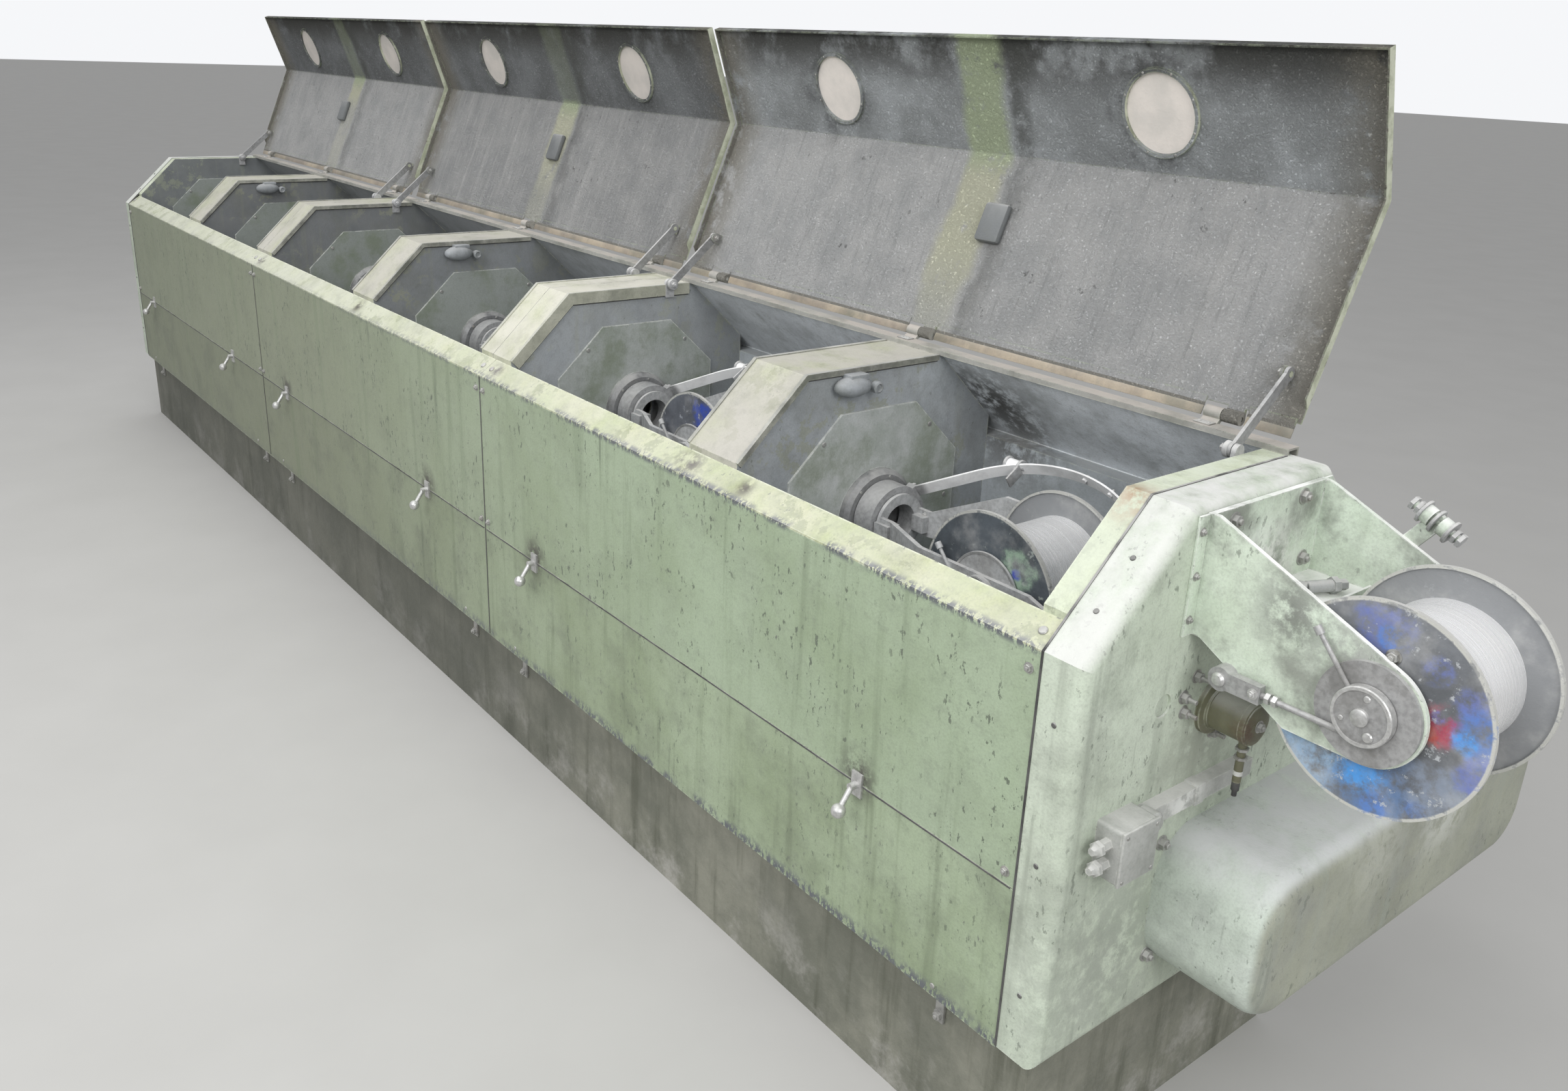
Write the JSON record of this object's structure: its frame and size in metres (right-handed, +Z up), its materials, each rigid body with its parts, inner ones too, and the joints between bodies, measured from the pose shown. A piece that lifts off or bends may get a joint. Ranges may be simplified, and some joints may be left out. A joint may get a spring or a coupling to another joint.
{
  "type": "bow stranding machine",
  "caption": "Long open trough of bays with bow rotors and level bobbin cradles, three hinged lids, and a pay-off bobbin on a bracket at one end.",
  "frame": {"origin": "on the floor under the middle of the trough's length and width", "axes": "+X along the rotors towards the pay-off end, +Y from the operator side to the hinge side, +Z up"},
  "size_m": [7.846, 1.6041, 2.3854],
  "materials": {
    "bobbin_paint": "matte",
    "box_plastic": "matte",
    "dark_steel": "brushed",
    "drawn_wire": "brushed",
    "dusty_steel": "brushed",
    "grey_paint": "matte",
    "housing_paint": "semi-gloss",
    "latch_steel": "polished",
    "lid_paint": "matte",
    "lime_paint": "semi-gloss",
    "mint_paint": "semi-gloss",
    "olive_paint": "semi-gloss",
    "pale_paint": "semi-gloss",
    "plinth": "matte",
    "sage_paint": "semi-gloss"
  },
  "bodies": {
    "trough": {"access_plates": "grey_paint", "back_cover": "grey_paint", "back_wall": "grey_paint", "bearing_rings": "dark_steel", "bulkhead_1": "pale_paint", "bulkhead_2": "pale_paint", "bulkhead_3": "pale_paint", "bulkhead_4": "pale_paint", "bulkhead_5": "pale_paint", "drive_guard": "mint_paint", "end_walls": "grey_paint", "far_end_cover": "mint_paint", "front_wall": "grey_paint", "hinge_rail": "pale_paint", "latches": "latch_steel", "lower_front_panels": "olive_paint", "near_end_cover": "mint_paint", "payoff_bracket": "pale_paint", "payoff_brake": "dusty_steel", "plinth": "plinth", "shaft_housing": "housing_paint", "stay_brackets": "dusty_steel", "switch_box": "box_plastic", "top_strips": "lime_paint", "trough_floor": "grey_paint", "upper_front_panels": "sage_paint"},
    "lid_1": {"lid_1": "lid_paint"},
    "stays_1": {"lid_stays_1": "dusty_steel"},
    "lid_2": {"lid_2": "lid_paint"},
    "stays_2": {"lid_stays_2": "dusty_steel"},
    "lid_3": {"lid_3": "lid_paint"},
    "stays_3": {"lid_stays_3": "dusty_steel"},
    "rotor_1": {"rotor_1": "dusty_steel"},
    "cradle_1": {"cradle_1": "dusty_steel"},
    "bobbin_1": {"bobbin_1": "bobbin_paint", "wire_1": "drawn_wire"},
    "rotor_2": {"rotor_2": "dusty_steel"},
    "cradle_2": {"cradle_2": "dusty_steel"},
    "bobbin_2": {"bobbin_2": "bobbin_paint", "wire_2": "drawn_wire"},
    "rotor_3": {"rotor_3": "dusty_steel"},
    "cradle_3": {"cradle_3": "dusty_steel"},
    "bobbin_3": {"bobbin_3": "bobbin_paint", "wire_3": "drawn_wire"},
    "rotor_4": {"rotor_4": "dusty_steel"},
    "cradle_4": {"cradle_4": "dusty_steel"},
    "bobbin_4": {"bobbin_4": "bobbin_paint", "wire_4": "drawn_wire"},
    "rotor_5": {"rotor_5": "dusty_steel"},
    "cradle_5": {"cradle_5": "dusty_steel"},
    "bobbin_5": {"bobbin_5": "bobbin_paint", "wire_5": "drawn_wire"},
    "rotor_6": {"rotor_6": "dusty_steel"},
    "cradle_6": {"cradle_6": "dusty_steel"},
    "bobbin_6": {"bobbin_6": "bobbin_paint", "wire_6": "drawn_wire"},
    "payoff_bobbin": {"payoff_bobbin": "bobbin_paint", "payoff_wire": "drawn_wire"}
  },
  "joints": [
    {"name": "lid_1_hinge", "type": "hinge", "parent": "trough", "child": "lid_1", "pos_m": [0, 0.285, 1.592], "axis": [1, 0, 0], "range_deg": [0, 113]},
    {"name": "stays_1_pivot", "type": "hinge", "parent": "lid_1", "child": "stays_1", "pos_m": [0, 0.31256, 1.71067], "axis": [1, 0, 0], "range_deg": [-153.5, 0]},
    {"name": "lid_2_hinge", "type": "hinge", "parent": "trough", "child": "lid_2", "pos_m": [0, 0.285, 1.592], "axis": [1, 0, 0], "range_deg": [0, 113]},
    {"name": "stays_2_pivot", "type": "hinge", "parent": "lid_2", "child": "stays_2", "pos_m": [0, 0.31256, 1.71067], "axis": [1, 0, 0], "range_deg": [-153.5, 0]},
    {"name": "lid_3_hinge", "type": "hinge", "parent": "trough", "child": "lid_3", "pos_m": [0, 0.285, 1.592], "axis": [1, 0, 0], "range_deg": [0, 113]},
    {"name": "stays_3_pivot", "type": "hinge", "parent": "lid_3", "child": "stays_3", "pos_m": [0, 0.31256, 1.71067], "axis": [1, 0, 0], "range_deg": [-153.5, 0]},
    {"name": "rotor_1_spin", "type": "hinge", "parent": "trough", "child": "rotor_1", "pos_m": [0, 0.015, 1.15], "axis": [1, 0, 0], "continuous": true},
    {"name": "cradle_1_level", "type": "hinge", "parent": "rotor_1", "child": "cradle_1", "pos_m": [0, 0.015, 1.15], "axis": [1, 0, 0], "continuous": true},
    {"name": "bobbin_1_spin", "type": "hinge", "parent": "cradle_1", "child": "bobbin_1", "pos_m": [-2.806, -0.005, 1.15], "axis": [0, 1, 0], "continuous": true},
    {"name": "rotor_2_spin", "type": "hinge", "parent": "trough", "child": "rotor_2", "pos_m": [0, 0.015, 1.15], "axis": [1, 0, 0], "continuous": true},
    {"name": "cradle_2_level", "type": "hinge", "parent": "rotor_2", "child": "cradle_2", "pos_m": [0, 0.015, 1.15], "axis": [1, 0, 0], "continuous": true},
    {"name": "bobbin_2_spin", "type": "hinge", "parent": "cradle_2", "child": "bobbin_2", "pos_m": [-1.656, -0.005, 1.15], "axis": [0, 1, 0], "continuous": true},
    {"name": "rotor_3_spin", "type": "hinge", "parent": "trough", "child": "rotor_3", "pos_m": [0, 0.015, 1.15], "axis": [1, 0, 0], "continuous": true},
    {"name": "cradle_3_level", "type": "hinge", "parent": "rotor_3", "child": "cradle_3", "pos_m": [0, 0.015, 1.15], "axis": [1, 0, 0], "continuous": true},
    {"name": "bobbin_3_spin", "type": "hinge", "parent": "cradle_3", "child": "bobbin_3", "pos_m": [-0.506, -0.005, 1.15], "axis": [0, 1, 0], "continuous": true},
    {"name": "rotor_4_spin", "type": "hinge", "parent": "trough", "child": "rotor_4", "pos_m": [0, 0.015, 1.15], "axis": [1, 0, 0], "continuous": true},
    {"name": "cradle_4_level", "type": "hinge", "parent": "rotor_4", "child": "cradle_4", "pos_m": [0, 0.015, 1.15], "axis": [1, 0, 0], "continuous": true},
    {"name": "bobbin_4_spin", "type": "hinge", "parent": "cradle_4", "child": "bobbin_4", "pos_m": [0.704, -0.005, 1.15], "axis": [0, 1, 0], "continuous": true},
    {"name": "rotor_5_spin", "type": "hinge", "parent": "trough", "child": "rotor_5", "pos_m": [0, 0.015, 1.15], "axis": [1, 0, 0], "continuous": true},
    {"name": "cradle_5_level", "type": "hinge", "parent": "rotor_5", "child": "cradle_5", "pos_m": [0, 0.015, 1.15], "axis": [1, 0, 0], "continuous": true},
    {"name": "bobbin_5_spin", "type": "hinge", "parent": "cradle_5", "child": "bobbin_5", "pos_m": [1.854, -0.005, 1.15], "axis": [0, 1, 0], "continuous": true},
    {"name": "rotor_6_spin", "type": "hinge", "parent": "trough", "child": "rotor_6", "pos_m": [0, 0.015, 1.15], "axis": [1, 0, 0], "continuous": true},
    {"name": "cradle_6_level", "type": "hinge", "parent": "rotor_6", "child": "cradle_6", "pos_m": [0, 0.015, 1.15], "axis": [1, 0, 0], "continuous": true},
    {"name": "bobbin_6_spin", "type": "hinge", "parent": "cradle_6", "child": "bobbin_6", "pos_m": [3.064, -0.005, 1.15], "axis": [0, 1, 0], "continuous": true},
    {"name": "payoff_bobbin_spin", "type": "hinge", "parent": "trough", "child": "payoff_bobbin", "pos_m": [4.005, -0.049, 1.295], "axis": [0, 1, 0], "continuous": true}
  ],
  "couplings": [
    {"joint": "stays_1_pivot", "follows": "lid_1_hinge", "ratio": -1.3538},
    {"joint": "stays_2_pivot", "follows": "lid_2_hinge", "ratio": -1.3538},
    {"joint": "stays_3_pivot", "follows": "lid_3_hinge", "ratio": -1.3538},
    {"joint": "cradle_1_level", "follows": "rotor_1_spin", "ratio": -1},
    {"joint": "rotor_2_spin", "follows": "rotor_1_spin", "ratio": 1},
    {"joint": "cradle_2_level", "follows": "rotor_1_spin", "ratio": -1},
    {"joint": "rotor_3_spin", "follows": "rotor_1_spin", "ratio": 1},
    {"joint": "cradle_3_level", "follows": "rotor_1_spin", "ratio": -1},
    {"joint": "rotor_4_spin", "follows": "rotor_1_spin", "ratio": 1},
    {"joint": "cradle_4_level", "follows": "rotor_1_spin", "ratio": -1},
    {"joint": "rotor_5_spin", "follows": "rotor_1_spin", "ratio": 1},
    {"joint": "cradle_5_level", "follows": "rotor_1_spin", "ratio": -1},
    {"joint": "rotor_6_spin", "follows": "rotor_1_spin", "ratio": 1},
    {"joint": "cradle_6_level", "follows": "rotor_1_spin", "ratio": -1}
  ]
}
